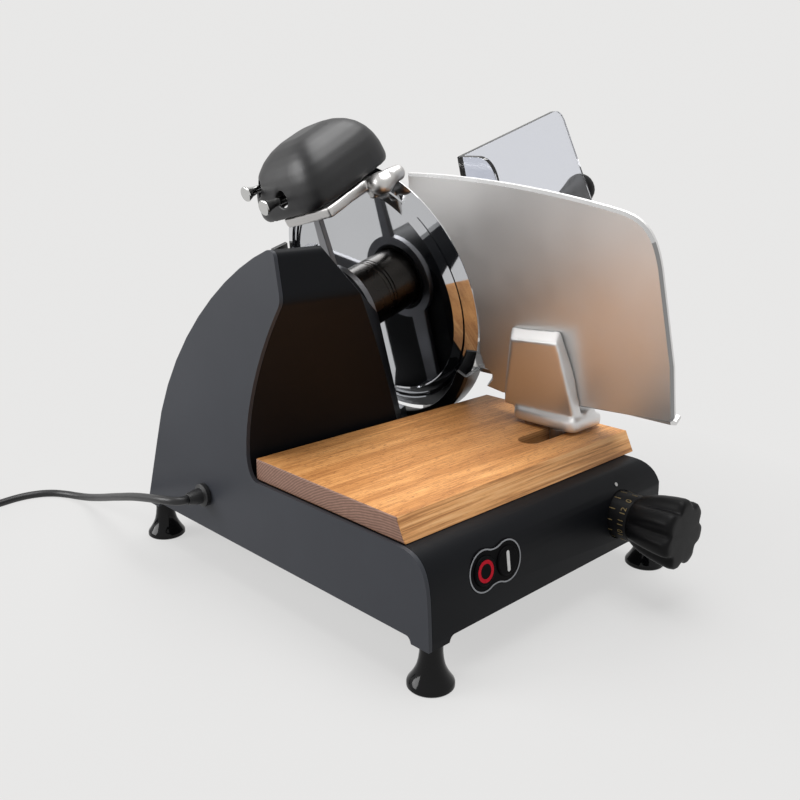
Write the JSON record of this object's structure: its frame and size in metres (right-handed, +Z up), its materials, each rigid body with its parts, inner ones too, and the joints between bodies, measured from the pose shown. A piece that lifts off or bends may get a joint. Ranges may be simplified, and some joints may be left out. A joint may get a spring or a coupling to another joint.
{
  "type": "food slicer",
  "caption": "Tilted round-blade kitchen slicer with a black base and tower, oak board, sliding food carriage, turning thickness knob and built-in blade sharpener.",
  "frame": {"origin": "middle of the machine's box without the cord, on the table", "axes": "+X to the right along the front, +Y from the operator to the back, +Z up"},
  "size_m": [0.6184, 0.6482, 0.3679],
  "materials": {
    "body_paint": "satin black powder coat",
    "dark_steel": "plain dark steel, inside the housing",
    "foot_black": "gloss black",
    "oak": "oiled oak, grain along the front",
    "cast_aluminium": "satin cast aluminium with polished edges",
    "blade_steel": "mirror polished steel",
    "turned_steel": "turned steel",
    "black_plastic": "matte black",
    "chrome": "polished",
    "grindstone": "coarse abrasive",
    "clear_guard": "clear acrylic with a cool tint",
    "cord_rubber": "matte black"
  },
  "bodies": {
    "frame": {"base_housing": "body_paint", "side_cover": "body_paint", "bottom_plate": "dark_steel", "foot_front_left": "foot_black", "foot_front_right": "foot_black", "foot_rear_left": "foot_black", "foot_rear_right": "foot_black", "cord_gland": "cord_rubber", "switch_plate": "foot_black", "cutting_board": "oak", "motor": "dark_steel", "motor_mount": "dark_steel", "drive_belt": "cord_rubber", "bearing_front": "dark_steel", "bearing_rear": "dark_steel", "hub_sleeve": "turned_steel", "hub_flange": "black_plastic", "ring_support": "cast_aluminium", "ring_guard": "cast_aluminium", "sharpener_bridge": "cast_aluminium", "sharpener_cover": "black_plastic", "gauge_guide_rod": "turned_steel", "carriage_rod": "turned_steel", "power_cord": "cord_rubber", "cord_coil": "cord_rubber", "cord_tie": "black_plastic", "mains_plug": "cord_rubber"},
    "blade_rotor": {"blade": "blade_steel", "blade_flange": "turned_steel", "blade_shaft": "turned_steel", "blade_pulley": "black_plastic"},
    "motor_rotor": {"motor_shaft": "turned_steel", "motor_pulley": "turned_steel"},
    "knob": {"thickness_knob": "black_plastic", "dial_collar": "black_plastic", "knob_shaft": "dark_steel", "gauge_cam": "dark_steel"},
    "gauge": {"gauge_plate": "cast_aluminium", "gauge_bracket": "cast_aluminium", "gauge_stem": "turned_steel", "gauge_slide": "dark_steel"},
    "carriage": {"carriage_tray": "cast_aluminium", "carriage_arm": "cast_aluminium", "carriage_slider": "dark_steel", "hand_guard": "clear_guard", "pusher_rod": "turned_steel"},
    "pusher": {"pusher_arm": "cast_aluminium", "pusher_plate": "black_plastic", "pusher_knob": "black_plastic"},
    "on_switch": {"on_button": "foot_black"},
    "off_switch": {"off_button": "foot_black"},
    "sharpener": {"sharpen_button": "chrome", "sharpening_stone": "grindstone"},
    "deburrer": {"deburr_button": "chrome"},
    "deburr_wheel": {"deburring_stone": "grindstone"}
  },
  "joints": [
    {"name": "blade_spin", "type": "hinge", "parent": "frame", "child": "blade_rotor", "pos_m": [0.02527, 0.10235, 0.2055], "axis": [0.9542, 0, 0.299], "continuous": true},
    {"name": "motor_spin", "type": "hinge", "parent": "frame", "child": "motor_rotor", "pos_m": [0.05159, 0.10235, 0.12153], "axis": [0.9542, 0, 0.299], "continuous": true},
    {"name": "knob_turn", "type": "hinge", "parent": "frame", "child": "knob", "pos_m": [0.02477, -0.20465, 0.0615], "axis": [0, -1, 0], "range_deg": [0, 330]},
    {"name": "gauge_shift", "type": "slide", "parent": "frame", "child": "gauge", "axis": [-1, 0, 0], "range_m": [0, 0.015]},
    {"name": "carriage_slide", "type": "slide", "parent": "frame", "child": "carriage", "axis": [0, 1, 0], "range_m": [-0.15, 0.03]},
    {"name": "pusher_slide", "type": "slide", "parent": "carriage", "child": "pusher", "axis": [-0.9542, 0, -0.299], "range_m": [0, 0.11]},
    {"name": "on_press", "type": "slide", "parent": "frame", "child": "on_switch", "axis": [0, 0.9903, -0.1392], "range_m": [0, 0.0015], "stiffness_N_per_m": 800},
    {"name": "off_press", "type": "slide", "parent": "frame", "child": "off_switch", "axis": [0, 0.9903, -0.1392], "range_m": [0, 0.0015], "stiffness_N_per_m": 800},
    {"name": "sharpen_press", "type": "slide", "parent": "frame", "child": "sharpener", "axis": [0.9542, 0, 0.299], "range_m": [0, 0.008], "stiffness_N_per_m": 500, "springref_m": -0.002},
    {"name": "deburr_press", "type": "slide", "parent": "frame", "child": "deburrer", "axis": [0.9542, 0, 0.299], "range_m": [0, 0.006], "stiffness_N_per_m": 500, "springref_m": -0.002},
    {"name": "deburr_reach", "type": "slide", "parent": "frame", "child": "deburr_wheel", "axis": [-0.9542, 0, -0.299], "range_m": [0, 0.003]}
  ],
  "couplings": [
    {"joint": "motor_spin", "follows": "blade_spin", "ratio": 3},
    {"joint": "knob_turn", "follows": "gauge_shift", "rad_per_m": 383.97},
    {"joint": "deburr_reach", "follows": "deburr_press", "ratio": 0.5}
  ]
}
